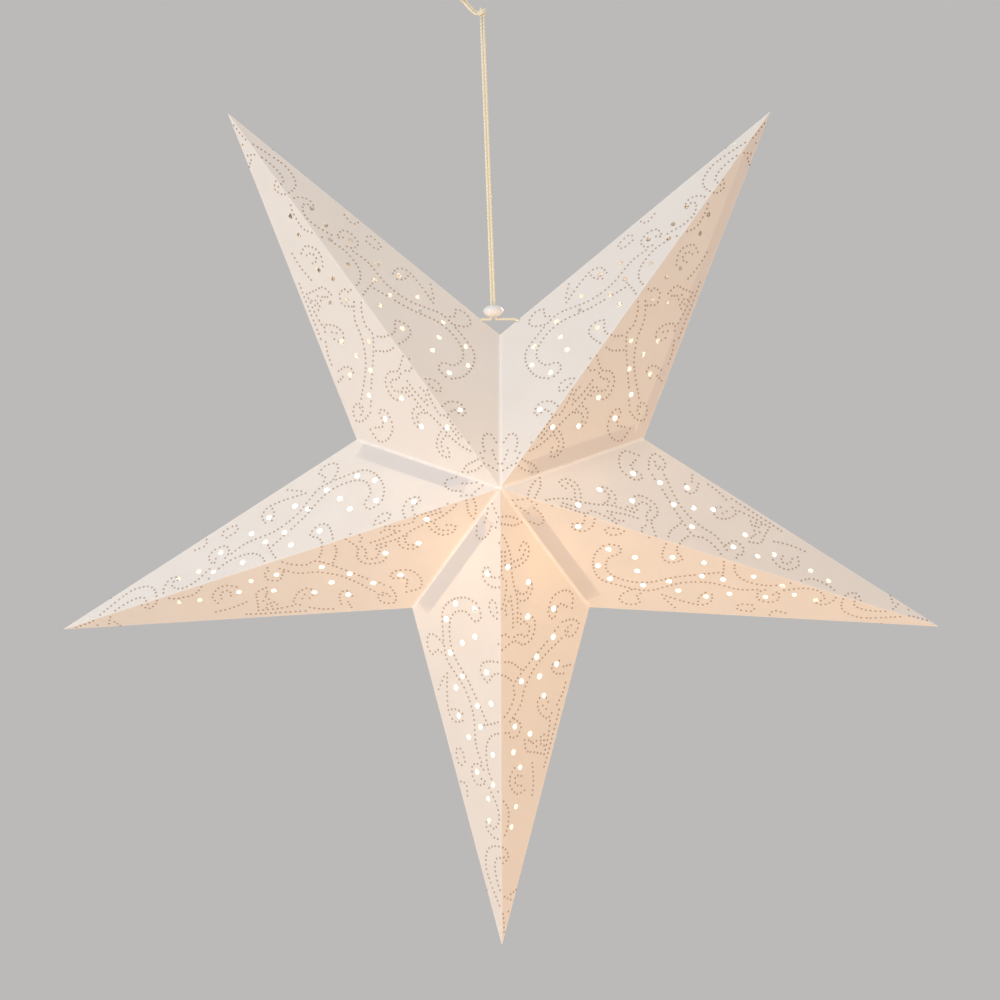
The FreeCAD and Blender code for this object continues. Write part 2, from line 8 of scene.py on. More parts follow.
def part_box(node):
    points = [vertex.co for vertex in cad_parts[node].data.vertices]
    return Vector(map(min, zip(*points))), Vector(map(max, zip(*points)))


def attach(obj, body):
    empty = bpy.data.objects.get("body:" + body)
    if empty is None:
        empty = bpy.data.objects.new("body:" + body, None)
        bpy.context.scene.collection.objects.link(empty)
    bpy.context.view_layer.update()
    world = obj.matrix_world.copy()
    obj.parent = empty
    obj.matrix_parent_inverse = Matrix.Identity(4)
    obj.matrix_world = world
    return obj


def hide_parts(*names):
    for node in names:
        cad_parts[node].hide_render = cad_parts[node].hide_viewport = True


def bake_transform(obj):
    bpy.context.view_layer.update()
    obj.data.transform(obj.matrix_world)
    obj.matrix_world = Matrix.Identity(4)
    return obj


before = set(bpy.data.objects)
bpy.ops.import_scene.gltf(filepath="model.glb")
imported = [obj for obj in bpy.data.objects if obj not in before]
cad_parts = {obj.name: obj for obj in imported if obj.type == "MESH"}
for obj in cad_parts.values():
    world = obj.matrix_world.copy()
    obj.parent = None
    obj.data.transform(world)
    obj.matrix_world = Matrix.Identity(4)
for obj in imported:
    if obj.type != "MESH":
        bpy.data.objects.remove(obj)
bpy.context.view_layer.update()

# ------------------------------------------------------------------ studio
# The star hangs in front of a plain pale studio. A large cool lamp stands to the upper left,
# a weak warm one low in front and a third one behind. The floor is a pale matt board well
# under the star. Lengths are in metres, also in all sections below.
STAR_CENTRE = Vector((0.0113, 0, -0.3204))


def start_new():
    bpy.ops.object.select_all(action="DESELECT")


def aimed(item, place, target, roll=0.0):
    item.location = place
    item.rotation_euler = (Vector(target) - Vector(place)).to_track_quat("-Z", "Y").to_euler()
    item.rotation_euler.rotate_axis("Z", math.radians(roll))


def studio_lamp(name, place, across, watts, colour):
    data = bpy.data.lights.new(name, "AREA")
    data.shape = "DISK"
    data.size = across
    data.energy = watts
    data.color = colour
    lamp = bpy.data.objects.new(name, data)
    bpy.context.scene.collection.objects.link(lamp)
    aimed(lamp, place, STAR_CENTRE)


camera = bpy.data.objects.new("camera", bpy.data.cameras.new("camera"))
camera.data.sensor_width = 36
camera.data.lens = 157.8
camera.data.clip_end = 50
bpy.context.scene.collection.objects.link(camera)
aimed(camera, (0.018, -2.9991, -0.2561), (0.011, 0, -0.3302), roll=-0.195)
bpy.context.scene.camera = camera
bpy.context.scene.view_settings.view_transform = "Standard"

studio_lamp("key_lamp", (-1.75, -1.75, 0.5), 0.9, 23, (0.95, 0.985, 1.0))
studio_lamp("low_lamp", (0.45, -1.0, -1.12), 0.6, 8, (1.0, 0.50, 0.12))
studio_lamp("back_lamp", (1.2, 2.2, 0.4), 1.2, 26, (1.0, 0.95, 0.9))

world = bpy.data.worlds.new("studio_air")
bpy.context.scene.world = world
world.use_nodes = True
air = world.node_tree
room_air = air.nodes["Background"]
room_air.inputs["Color"].default_value = (1.0, 0.94, 0.89, 1)
room_air.inputs["Strength"].default_value = 0.72
seen_air = air.nodes.new("ShaderNodeBackground")
seen_air.inputs["Color"].default_value = (0.5, 0.49, 0.48, 1)
seen_air.inputs["Strength"].default_value = 1.0
ray_kind = air.nodes.new("ShaderNodeLightPath")
seen_ray = ray_kind.outputs["Is Camera Ray"]
for kind in ("Is Glossy Ray", "Is Transmission Ray"):
    either = air.nodes.new("ShaderNodeMath")
    either.operation = "MAXIMUM"
    air.links.new(seen_ray, either.inputs[0])
    air.links.new(ray_kind.outputs[kind], either.inputs[1])
    seen_ray = either.outputs[0]
air_choice = air.nodes.new("ShaderNodeMixShader")
for source, socket in (
    (seen_ray, air_choice.inputs[0]),
    (room_air.outputs[0], air_choice.inputs[1]),
    (seen_air.outputs[0], air_choice.inputs[2]),
    (air_choice.outputs[0], air.nodes["World Output"].inputs["Surface"]),
):
    air.links.new(source, socket)


class Finish:
    """A node material that is wired in a few words."""

    def __init__(self, name, **values):
        self.material = bpy.data.materials.new(name)
        self.material.use_nodes = True
        self.tree = self.material.node_tree
        self.shader = self.tree.nodes["Principled BSDF"]
        self.out = self.tree.nodes["Material Output"]
        for socket, value in values.items():
            self.shader.inputs[socket.replace("_", " ")].default_value = value

    def node(self, kind, **settings):
        made = self.tree.nodes.new("ShaderNode" + kind)
        for name, value in settings.items():
            setattr(made, name, value)
        return made

    def put(self, value, socket):
        if isinstance(value, bpy.types.NodeSocket):
            self.tree.links.new(value, socket)
        else:
            socket.default_value = value

    def math(self, operation, first, second):
        made = self.node("Math", operation=operation)
        self.put(first, made.inputs[0])
        self.put(second, made.inputs[1])
        return made.outputs[0]

    def mix(self, share, first, second):
        """Two colours mixed. Sockets 6 and 7 are the colour ones, and output 2 is the colour."""
        made = self.node("Mix", data_type="RGBA")
        self.put(share, made.inputs[0])
        self.put(first, made.inputs[6])
        self.put(second, made.inputs[7])
        return made.outputs[2]

    def place(self):
        return self.node("TexCoord").outputs["Object"]

    def grain(self, scale, detail=3.0, roughness=0.5):
        """Noise with its scale in lumps to a metre."""
        made = self.node("TexNoise")
        self.put(self.place(), made.inputs["Vector"])
        made.inputs["Scale"].default_value = scale
        made.inputs["Detail"].default_value = detail
        made.inputs["Roughness"].default_value = roughness
        return made.outputs["Fac"]

    def step(self, value, low, high, to_low=0.0, to_high=1.0):
        made = self.node("MapRange")
        for number, socket in zip((value, low, high, to_low, to_high), made.inputs):
            self.put(number, socket)
        return made.outputs[0]

    def relief(self, height, depth, strength=1.0):
        """Bump whose depth is in metres."""
        made = self.node("Bump")
        self.put(height, made.inputs["Height"])
        made.inputs["Distance"].default_value = depth
        made.inputs["Strength"].default_value = strength
        return made.outputs[0]

    def finish(self, **links):
        for socket, value in links.items():
            self.put(value, self.shader.inputs[socket.replace("_", " ")])
        return self.material


FLOOR_RADIUS = 3.4
FLOOR_UP = -1.25
floor_finish = Finish("pale_board", Roughness=0.8)
speckle = floor_finish.grain(60, 6)
floor_finish.finish(
    Base_Color=floor_finish.mix(speckle, (0.56, 0.55, 0.54, 1), (0.6, 0.59, 0.58, 1)),
    Normal=floor_finish.relief(speckle, 0.001, 0.3),
)
start_new()
bpy.ops.mesh.primitive_circle_add(
    vertices=96, radius=FLOOR_RADIUS, fill_type="NGON", location=(0, 0, FLOOR_UP)
)
studio_floor = bpy.context.object
studio_floor.name = "studio_floor"
studio_floor.data.materials.append(floor_finish.material)
bpy.ops.object.transform_apply()

# ------------------------------------------------------------------ string
# One thin cream cotton cord, braided, 1.7 mm thick. It is a loop knotted at the top: each half
# comes down through the bead, goes through the hole in its rim fold and over to the other half.
CORD = 0.0017
STRAND_SIDE = 0.0009
NOTCH_RADIUS = 0.103
NOTCH_UP = STAR_CENTRE.z + NOTCH_RADIUS
BEAD_CENTRE = Vector((0.00684, 0, -0.201))
TURN_BELOW_BEAD = 0.0056
STRAIGHT_IN_BEAD = 0.0102
TURN_REACH = 0.0039
# Each leg: out from the middle of the star, and up from the notch. The last is the span's end.
LEG_PLACES = (
    (0.0133, 0.0109),
    (0.0154, 0.0060),
    (0.0139, -0.0030),
    (0.0108, -0.0090),
    (0.0060, -0.0090),
)
SPAN_SAG = 0.00005


def smooth_line(name, places, thickness=0.0, resolution=12):
    """A NURBS line through the air with these control points."""
    line = bpy.data.curves.new(name, "CURVE")
    line.dimensions = "3D"
    spline = line.splines.new("NURBS")
    spline.points.add(len(places) - 1)
    for point, place in zip(spline.points, places):
        point.co = (*place, 1)
    spline.order_u = 3
    spline.use_endpoint_u = True
    line.resolution_u = resolution
    line.bevel_depth = thickness / 2
    line.bevel_resolution = 4
    line.use_fill_caps = thickness > 0
    item = bpy.data.objects.new(name, line)
    bpy.context.scene.collection.objects.link(item)
    return item


def line_places(item):
    """Places along a line without thickness, for the length and the route of a cord."""
    read = bpy.data.meshes.new_from_object(item)
    places = [Vector(vertex.co) for vertex in read.vertices]
    bpy.data.meshes.remove(read)
    return places


def to_mesh(item):
    start_new()
    item.select_set(True)
    bpy.context.view_layer.objects.active = item
    bpy.ops.object.convert(target="MESH")
    made = bpy.context.object
    bpy.ops.object.mode_set(mode="EDIT")
    bpy.ops.mesh.select_all(action="SELECT")
    bpy.ops.mesh.remove_doubles(threshold=0.000001)
    bpy.ops.mesh.normals_make_consistent(inside=False)
    bpy.ops.object.mode_set(mode="OBJECT")
    bpy.ops.object.shade_smooth()
    return made


def joined(name, items):
    start_new()
    for item in items:
        item.select_set(True)
    bpy.context.view_layer.objects.active = items[0]
    if len(items) > 1:
        bpy.ops.object.join()
    made = bpy.context.object
    made.name = name
    return made


cord_finish = Finish("cream_braided_cord", Roughness=0.82, Sheen_Weight=0.35, Sheen_Roughness=0.4)
fibre = cord_finish.grain(1500, 4)
stain = cord_finish.grain(45, 2)
braid = cord_finish.node("TexWave", wave_type="BANDS", bands_direction="DIAGONAL")
cord_finish.put(cord_finish.place(), braid.inputs["Vector"])
braid.inputs["Scale"].default_value = 260
braid.inputs["Distortion"].default_value = 1.2
braid.inputs["Detail"].default_value = 1.0
braid.inputs["Detail Scale"].default_value = 2.0
cream = cord_finish.mix(stain, (0.82, 0.78, 0.60, 1), (0.90, 0.87, 0.74, 1))
# Painted shade: the cord is painted darker in the grooves of the braid.
braid_groove_painted_shade = cord_finish.math("MULTIPLY", braid.outputs["Fac"], 0.3)
cream = cord_finish.mix(braid_groove_painted_shade, cream, (0.58, 0.51, 0.34, 1))
weave = cord_finish.math("ADD", cord_finish.math("MULTIPLY", fibre, 0.35), braid.outputs["Fac"])
cord_finish.finish(Base_Color=cream, Normal=cord_finish.relief(weave, 0.00025, 0.8))

string_way = BEAD_CENTRE.normalized()
string_across = Vector((-string_way.z, 0, string_way.x))
turn_distance = BEAD_CENTRE.length + TURN_BELOW_BEAD
half_cords = []
for half, sign in (("left", -1), ("right", 1)):
    top = string_across * (sign * STRAND_SIDE)
    turn = string_way * turn_distance + top
    over_bead = string_way * (turn_distance - STRAIGHT_IN_BEAD) + top
    leg_1, leg_2, leg_3, leg_4, span_end = (
        Vector((STAR_CENTRE.x + sign * out, 0, NOTCH_UP + up)) for out, up in LEG_PLACES
    )
    strand_end = turn + (leg_1 - turn).normalized() * TURN_REACH
    in_hole = (leg_1 + leg_2) / 2
    outer_route = [top, over_bead, turn, strand_end, leg_1, in_hole]
    outer_line = smooth_line(half + "_cord_line", outer_route)
    outer_path = line_places(outer_line)
    bpy.data.objects.remove(outer_line)
    outer = to_mesh(smooth_line(half + "_string", outer_route, CORD))
    outer.name = half + "_string"
    outer.data.materials.append(cord_finish.material)
    # The way of the change from strand to leg dips outwards, so that the leaning strands above
    # the bead lie wholly before its start and stay straight when the seam opens.
    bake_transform(outer)
    inner_route = [in_hole, leg_2, leg_3, leg_4, span_end]
    inner = to_mesh(smooth_line(half + "_string_inside", inner_route, CORD))
    inner.name = half + "_string_inside"
    inner.data.materials.append(cord_finish.material)
    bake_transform(inner)
    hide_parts(half + "_strand")
    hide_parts(half + "_leg")
    length = sum((b - a).length for a, b in zip(outer_path, outer_path[1:]))
    half_cords.append((outer, inner, outer_path, length))

span_out, span_up = LEG_PLACES[-1]
span_route = [
    (STAR_CENTRE.x - span_out, 0, NOTCH_UP + span_up),
    (STAR_CENTRE.x, 0, NOTCH_UP + span_up - SPAN_SAG),
    (STAR_CENTRE.x + span_out, 0, NOTCH_UP + span_up),
]
span = to_mesh(smooth_line("string_span", span_route, CORD))
span.data.materials.append(cord_finish.material)
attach(span, "hanging_string")
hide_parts("inner_span")

# ------------------------------------------------------------------ knot
# The two ends of the cord are tied in one overhand knot, pulled tight. They stick out to the
# left above it, cut short, and the last millimetres have come unbraided.
KNOT_MIDDLE = Vector((0, 0, 0.0031))
KNOT_CORE = 0.0017
WRAP_TURNS = 2.6
WRAP_PLACES = 34
WRAP_RADIUS = 0.00185
WRAP_FOOT = 0.0011
WRAP_HEIGHT = 0.0039
WRAP_LEAN = 0.0007
KNOT_ENDS = [
    Vector((-0.0002, 0, 0.0030)),
    Vector((-0.0016, 0, 0.0022)),
    Vector((-0.0049, 0, 0.0022)),
    Vector((-0.0089, 0, 0.0066)),
    Vector((-0.0128, 0, 0.0110)),
]
END_APART = Vector((0.0005, 0.0006, 0.0006))
FRAYS = 22
FRAY_REACH = 0.0007
FRAY_THICKNESS = 0.00028
FRAY_ROOT = 0.0012
FRAY_LENGTH = 0.0027
GOLDEN_ANGLE = 2.39996


def wrap_line():
    """The turns round both strands, leaning, tucked in at both ends."""
    places = [Vector((0.0004, 0.0, 0.0004)), Vector((0.0016, -0.0004, 0.0006))]
    for index in range(WRAP_PLACES):
        share = index / (WRAP_PLACES - 1)
        angle = math.tau * WRAP_TURNS * share
        radius = WRAP_RADIUS * (1.0 - 0.35 * (2 * share - 1) ** 2)
        height = WRAP_FOOT + WRAP_HEIGHT * share + WRAP_LEAN * math.cos(angle)
        places.append(Vector((radius * math.cos(angle), radius * math.sin(angle) * 0.95, height)))
    places.append(Vector((-0.0006, 0.0, 0.0056)))
    return places


knot_pieces = [to_mesh(smooth_line("knot_wrap", wrap_line(), CORD, 6))]
for sign in (-1, 1):
    route = [place + sign * END_APART for place in KNOT_ENDS]
    knot_pieces.append(to_mesh(smooth_line("knot_end", route, CORD)))
bpy.ops.mesh.primitive_uv_sphere_add(
    segments=20, ring_count=12, radius=KNOT_CORE, location=KNOT_MIDDLE
)
bpy.ops.object.transform_apply()
knot_pieces.append(bpy.context.object)
# The frays stand in a round bunch at each end, spread a little outwards.
fray_way = (KNOT_ENDS[-1] - KNOT_ENDS[-2]).normalized()
for sign in (-1, 1):
    tip = KNOT_ENDS[-1] + sign * END_APART
    for index in range(FRAYS):
        angle = index * GOLDEN_ANGLE
        reach = FRAY_REACH * math.sqrt((index + 0.5) / FRAYS)
        side = Vector((math.cos(angle) * 0.74, math.sin(angle), math.cos(angle) * 0.67))
        start = tip + side * reach - fray_way * FRAY_ROOT
        way = (fray_way + side * (0.35 * reach / FRAY_REACH)).normalized()
        end = start + way * (FRAY_LENGTH + 0.0006 * math.sin(index * 1.7))
        bend = (start + end) / 2 + side * 0.00015
        knot_pieces.append(to_mesh(smooth_line("fray", [start, bend, end], FRAY_THICKNESS, 2)))
knot = joined("knotted_ends", knot_pieces)
knot.data.materials.clear()
knot.data.materials.append(cord_finish.material)
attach(knot, "top_knot")
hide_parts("knot")

for (outer, inner, path, length), half in zip(half_cords, ("left", "right")):
    sign = -1 if half == "left" else 1

# ------------------------------------------------------------------ bead
# A white glazed bead, wider than it is high, drilled through for both strands. It holds by
# friction, and pushing it down the string draws the seam of the star shut.
BEAD_RADIUS = 0.0069
BEAD_HALF_HEIGHT = 0.0042
BORE_RADIUS = 0.00195
BORE_LIP = 0.0003
start_new()
bpy.ops.mesh.primitive_uv_sphere_add(segments=72, ring_count=36, radius=1.0)
bead = bpy.context.object
bead.name = "glazed_bead"
bead.scale = (BEAD_RADIUS, BEAD_RADIUS, BEAD_HALF_HEIGHT)
bpy.ops.object.transform_apply()
bpy.ops.mesh.primitive_cylinder_add(vertices=48, radius=BORE_RADIUS, depth=0.02)
drill = bpy.context.object
bore = bead.modifiers.new("bore", "BOOLEAN")
bore.object = drill
bore.solver = "EXACT"
lip = bead.modifiers.new("lip", "BEVEL")
lip.width = BORE_LIP
lip.segments = 3
lip.limit_method = "ANGLE"
lip.angle_limit = math.radians(40)
bpy.context.view_layer.objects.active = bead
bpy.ops.object.modifier_apply(modifier="bore")
bpy.ops.object.modifier_apply(modifier="lip")
bpy.data.objects.remove(drill)
onto_string = Vector((0, 0, -1)).rotation_difference(string_way).to_matrix().to_4x4()
bead.data.transform(Matrix.Translation(BEAD_CENTRE) @ onto_string)
start_new()
bead.select_set(True)
bpy.ops.object.shade_smooth_by_angle(angle=math.radians(35))
glaze = Finish("white_glaze", Coat_Weight=0.3, Coat_Roughness=0.12, IOR=1.5)
cloud = glaze.grain(220, 3)
glaze.finish(
    Base_Color=glaze.mix(cloud, (0.80, 0.80, 0.79, 1), (0.88, 0.88, 0.87, 1)),
    Roughness=glaze.step(glaze.grain(900, 2), 0.3, 0.7, 0.22, 0.34),
    Normal=glaze.relief(glaze.grain(350, 2), 0.0002, 0.25),
)
bead.data.materials.append(glaze.material)
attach(bead, "sliding_bead")
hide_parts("bead")

# ------------------------------------------------------------------ paper sheets
# Each point is one sheet of thick white paper, folded into four panels. The sheets are pricked
# with rows of small holes in scrolls, each drawn as a pit and burr painted dark as painted shade,
# and punched with larger round ones, then glued.
TIP_RADIUS = 0.315
HALF_DEPTH = 0.075
HALF_POINT = math.radians(36)
RIDGE = math.hypot(TIP_RADIUS, HALF_DEPTH)
VALLEY = math.hypot(NOTCH_RADIUS, HALF_DEPTH)
RIM = math.sqrt(
    TIP_RADIUS**2 + NOTCH_RADIUS**2 - 2 * TIP_RADIUS * NOTCH_RADIUS * math.cos(HALF_POINT)
)
centre_angle = math.acos((RIDGE**2 + VALLEY**2 - RIM**2) / (2 * RIDGE * VALLEY))
NOTCH = Vector((VALLEY * math.cos(centre_angle), VALLEY * math.sin(centre_angle)))
PAPER = 0.0003
CENTRE_TRIM = 0.0006
SHEET_SPAN = 0.33
STRING_HOLE_RADIUS = 0.0018
STRING_HOLE_FROM_NOTCH = 0.016

# Round holes, in millimetres: along the ridge from the front centre, and across from it.
PUNCHED = {
    "left": [
        (56.0, 6.5), (70.0, 25.0), (94.0, 24.5), (93.0, 48.0), (113.0, 47.5), (124.0, 32.5),
        (133.0, 50.5), (138.5, 35.0), (138.5, 18.5), (153.0, 39.0), (169.5, 12.5), (177.5, 26.0),
        (187.5, 11.0), (199.5, 17.0), (227.0, 13.0), (240.5, 9.0),
    ],
    "right": [
        (61.5, 12.0), (88.5, 23.5), (88.0, 41.0), (100.5, 49.5), (108.0, 23.5), (114.5, 35.0),
        (123.5, 46.0), (131.0, 13.0), (138.0, 35.0), (147.5, 41.0), (152.5, 9.0), (156.5, 21.5),
        (167.0, 38.5), (171.0, 18.5), (180.5, 29.5), (188.5, 7.5), (204.0, 22.0), (210.0, 7.5),
        (221.0, 12.0), (236.5, 11.0),
    ],
}
PUNCH_RADIUS = 0.0018

# Rows of pricked holes, in millimetres, left of the ridge as minus. Each row is a smooth line
# through these places, pricked at an even pitch.
PRICK_PITCH = 3.3
CLEAR_OF_HOLES = 2.7
CLEAR_OF_PRICKS = 1.9
CLEAR_OF_RIDGE = 0.7
SCROLLS = [
    [(27, -19), (28, -12), (26, -5), (25, -1)],
    [(24, -15), (21, -8), (20, -1), (20, 2), (15, 5), (12, 7)],
    [(28, 8), (34, 11), (38, 16), (37, 21), (30, 21)],
    [(30, 0), (38, -5), (49, -9), (60, -10), (70, -12), (80, -15), (96, -15)],
    [(38, 1), (46, -1), (61, -1), (66, -5), (76, -4), (84, -1)],
    [(77, -9), (84, -10), (90, -11), (99, -11)],
    [(45, -4), (54, -4)],
    [(80, -7), (84, -4), (89, -5)],
    [(91, -18), (98, -18)],
    [(16, 11), (21, 12), (26, 14)],
    [(24, 3), (28, 4)],
    [(57, -10), (57, -16), (53, -24), (45, -25), (41, -20), (46, -17)],
    [(53, -12), (52, -19), (47, -22)],
    [(77, -13), (81, -16), (82, -23), (77, -28), (72, -28)],
    [(72, -13), (77, -18), (77, -23), (74, -25)],
    [(91, 0), (91, 5), (86, 10), (80, 9), (80, 5), (87, 3)],
    [(69, 1), (70, 8), (66, 15), (59, 15), (57, 11), (63, 8)],
    [(62, 1), (63, 5)],
    [(113, -1), (109, -12), (113, -20), (110, -28), (100, -31), (93, -27)],
    [(106, -12), (105, -17), (108, -23), (102, -26), (97, -21)],
    [(105, -7), (102, -2), (109, 2)],
    [(96, -65), (86, -65), (82, -57), (85, -47), (95, -43), (100, -48), (91, -53), (94, -60)],
    [(104, -56), (104, -65), (108, -71), (115, -67), (115, -60), (110, -59), (108, -64)],
    [(107, -52), (109, -49)],
    [(112, -61), (118, -51), (123, -42), (131, -31), (143, -22), (156, -17), (165, -8)],
    [(113, -45), (126, -27), (139, -12), (148, -12), (158, -6), (165, 4), (169, 15)],
    [
        (130, -18), (123, -8), (122, 5), (125, 16), (132, 18), (138, 12), (133, 8), (130, 3),
        (132, -4), (136, -9),
    ],
    [(167, -46), (170, -42), (164, -35), (157, -33), (154, -35)],
    [(163, -41), (160, -38)],
    [(148, -59), (155, -56), (162, -51)],
    [(166, -53), (180, -48), (194, -43), (204, -39)],
    [(169, -45), (182, -43), (192, -40)],
    [(155, -41), (159, -43), (162, -42)],
    [(136, -63), (136, -57)],
    [(141, -57), (139, -49), (133, -46), (131, -53)],
    [
        (84, 22), (82, 32), (86, 44), (94, 52), (105, 53), (127, 50), (138, 41), (148, 32),
        (164, 25), (184, 23), (196, 18),
    ],
    [
        (87, 19), (94, 18), (97, 24), (92, 31), (94, 41), (102, 46), (115, 46), (127, 41),
        (140, 30), (152, 22), (168, 12),
    ],
    [(170, 35), (172, 41), (168, 47), (157, 49), (139, 49)],
    [(165, 35), (163, 40), (164, 45)],
    [(152, 57), (142, 52)],
    [(125, 54), (124, 58), (128, 62), (123, 67), (115, 66), (114, 60), (118, 53)],
    [(218, 0), (227, -6), (236, -6), (245, -3), (248, 5), (243, 13), (235, 13)],
    [(213, 11), (224, 4), (234, 2), (241, 6), (240, 10)],
    [(214, 3), (204, 10), (195, 13), (183, 13), (175, 8), (172, 0), (173, -7)],
    [(176, -8), (177, -14), (170, -18), (164, -12)],
    [(208, 18), (210, 14), (213, 21), (208, 26), (200, 26), (198, 20), (201, 16)],
    [(222, -28), (214, -29), (207, -29), (199, -28)],
    [(217, -21), (218, -14), (211, -8), (204, -8), (199, -12)],
    [(213, -18), (211, -13), (205, -13), (206, -18)],
    [(195, -39), (192, -31), (189, -23), (181, -21)],
    [(185, -29), (182, -25)],
    [(188, -32), (184, -32)],
    [(187, -36), (182, -36)],
    [(189, -39), (181, -39)],
    [(223, 31), (215, 32), (214, 37)],
    [(202, 36), (201, 39), (192, 41), (191, 36), (199, 33)],
    [
        (315, -2), (302, -1), (294, 3), (283, 9), (271, 14), (259, 13), (254, 7), (254, -2),
        (262, -6), (265, -1),
    ],
    [(261, -2), (262, 4), (269, 6), (281, 3), (289, -2), (293, -8)],
    [(289, -8), (287, -13)],
    [(301, -6)],
]


def smooth_row(places):
    """Even places along a smooth line through the given ones."""
    if len(places) == 1:
        return list(places)
    points = [Vector(place) for place in places]
    points = [2 * points[0] - points[1]] + points + [2 * points[-1] - points[-2]]
    fine = []
    for a, b, c, d in zip(points, points[1:], points[2:], points[3:]):
        for index in range(24):
            t = index / 24
            square_part = (2 * a - 5 * b + 4 * c - d) * t**2
            cube_part = (3 * b - a - 3 * c + d) * t**3
            fine.append(0.5 * (2 * b + (c - a) * t + square_part + cube_part))
    fine.append(points[-2])
    total = sum((b - a).length for a, b in zip(fine, fine[1:]))
    pitch = total / max(1, round(total / PRICK_PITCH))
    row, walked = [fine[0]], 0.0
    for a, b in zip(fine, fine[1:]):
        walked += (b - a).length
        if walked >= pitch * len(row) - 0.05:
            row.append(b)
    return row


def pricked_places(half):
    """All pricked places of one half of the pattern, clear of the ridge fold, of the round holes
    and of each other.
    """
    side = -1 if half == "left" else 1
    kept = []
    for scroll in SCROLLS:
        for along, across in smooth_row(scroll):
            here = (along, across * side)
            from_holes = min(math.dist(here, hole) for hole in PUNCHED[half])
            from_pricks = min((math.dist(here, other) for other in kept), default=math.inf)
            clear = from_holes > CLEAR_OF_HOLES and from_pricks > CLEAR_OF_PRICKS
            if here[1] > CLEAR_OF_RIDGE and clear:
                kept.append(here)
    return kept


def active(item):
    start_new()
    item.select_set(True)
    bpy.context.view_layer.objects.active = item


def flat_panel(half):
    """One flat triangle of paper with its round holes: X along the ridge, Y across.

    Its corner at the centre is cut off short, so that the ten corners clear each other.
    """
    start_new()
    bpy.ops.mesh.primitive_circle_add(vertices=4, radius=0.1, fill_type="NOTHING")
    panel = bpy.context.object
    panel.name = half + "_flat_panel"
    corners = ((CENTRE_TRIM, 0), (RIDGE, 0), tuple(NOTCH), tuple(NOTCH.normalized() * CENTRE_TRIM))
    for vertex, corner in zip(panel.data.vertices, corners):
        vertex.co = (*corner, 0)
    bpy.ops.object.mode_set(mode="EDIT")
    for along, across in PUNCHED[half]:
        bpy.ops.mesh.primitive_circle_add(
            vertices=24,
            radius=PUNCH_RADIUS,
            fill_type="NOTHING",
            location=(along / 1000, across / 1000, 0),
        )
    bpy.ops.mesh.select_all(action="SELECT")
    bpy.ops.mesh.fill(use_beauty=True)
    bpy.ops.mesh.extrude_region_move(TRANSFORM_OT_translate={"value": (0, 0, PAPER)})
    bpy.ops.mesh.select_all(action="SELECT")
    bpy.ops.transform.translate(value=(0, 0, -PAPER / 2))
    bpy.ops.mesh.normals_make_consistent(inside=False)
    bpy.ops.object.mode_set(mode="OBJECT")
    return panel


def with_sheet_map(panel):
    """The sheet's own map: along the ridge and across it."""
    sheet_map = panel.data.uv_layers.get("sheet") or panel.data.uv_layers.new(name="sheet")
    for loop in panel.data.loops:
        place = panel.data.vertices[loop.vertex_index].co
        sheet_map.data[loop.index].uv = (place.x / SHEET_SPAN, place.y / SHEET_SPAN)
    return panel


PRICK_RADIUS = 0.00082
PIT_EDGE = 0.00064


def one_prick():
    """A pricked hole as it stands on the paper: a pit in a low burr, on both faces, both painted
    dark as painted shade.
    """
    start_new()
    bpy.ops.mesh.primitive_circle_add(
        vertices=8, radius=PRICK_RADIUS, fill_type="NGON", location=(0, 0, PAPER / 2 - 0.00002)
    )
    prick = bpy.context.object
    prick.name = "prick"
    bpy.ops.object.transform_apply()
    bpy.ops.object.mode_set(mode="EDIT")
    bpy.ops.mesh.select_all(action="SELECT")
    for lift, narrow in ((0.00008, 0.86), (0.0, 0.84), (-0.00006, 0.6)):
        bpy.ops.mesh.extrude_region_move(TRANSFORM_OT_translate={"value": (0, 0, lift)})
        bpy.ops.transform.resize(value=(narrow, narrow, 1))
    bpy.ops.mesh.select_all(action="SELECT")
    bpy.ops.mesh.normals_make_consistent(inside=False)
    bpy.ops.object.mode_set(mode="OBJECT")
    mirror = prick.modifiers.new("both_faces", "MIRROR")
    mirror.use_axis = (False, False, True)
    mirror.use_mirror_merge = False
    bpy.ops.object.modifier_apply(modifier="both_faces")
    for face in prick.data.polygons:
        reach = max(math.hypot(*prick.data.vertices[v].co.xy) for v in face.vertices)
        face.material_index = 1 if reach < PIT_EDGE else 0
    return prick


def pricked_pattern(half, prick):
    copies = []
    for along, across in pricked_places(half):
        copy = prick.data.copy()
        turned = Matrix.Rotation(along, 4, "Z")
        copy.transform(Matrix.Translation((along / 1000, across / 1000, 0)) @ turned)
        item = bpy.data.objects.new("prick_copy", copy)
        bpy.context.scene.collection.objects.link(item)
        copies.append(item)
    return joined(half + "_pricks", copies)


# Paper finish. The sheet map gives each place its distance from the folds, for the painted
# highlights along the fold edges and for the painted shade bands where a glued flap lies behind
# the paper.
VALLEY_FLAP_WIDTH = 0.0125
VALLEY_FLAP_FROM = 0.026
VALLEY_FLAP_TO = 0.1205
RIM_FLAP_WIDTH = 0.009
paper = Finish("folded_white_paper", Roughness=0.72, Specular_IOR_Level=0.3)
sheet_map = paper.node("UVMap", uv_map="sheet")
split = paper.node("SeparateXYZ")
paper.put(sheet_map.outputs[0], split.inputs[0])
along = paper.math("MULTIPLY", split.outputs[0], SHEET_SPAN)
across = paper.math("MULTIPLY", split.outputs[1], SHEET_SPAN)
valley_slope = NOTCH.normalized()
rim_way = (Vector((RIDGE, 0)) - NOTCH).normalized()
from_valley = paper.math(
    "SUBTRACT",
    paper.math("MULTIPLY", along, valley_slope.y),
    paper.math("MULTIPLY", across, valley_slope.x),
)
from_rim = paper.math(
    "SUBTRACT",
    paper.math("MULTIPLY", paper.math("SUBTRACT", RIDGE, along), -rim_way.y),
    paper.math("MULTIPLY", across, rim_way.x),
)
pulp = paper.grain(900, 5, roughness=0.6)
cloudy = paper.grain(28, 3)
flecks = paper.grain(2600, 2)
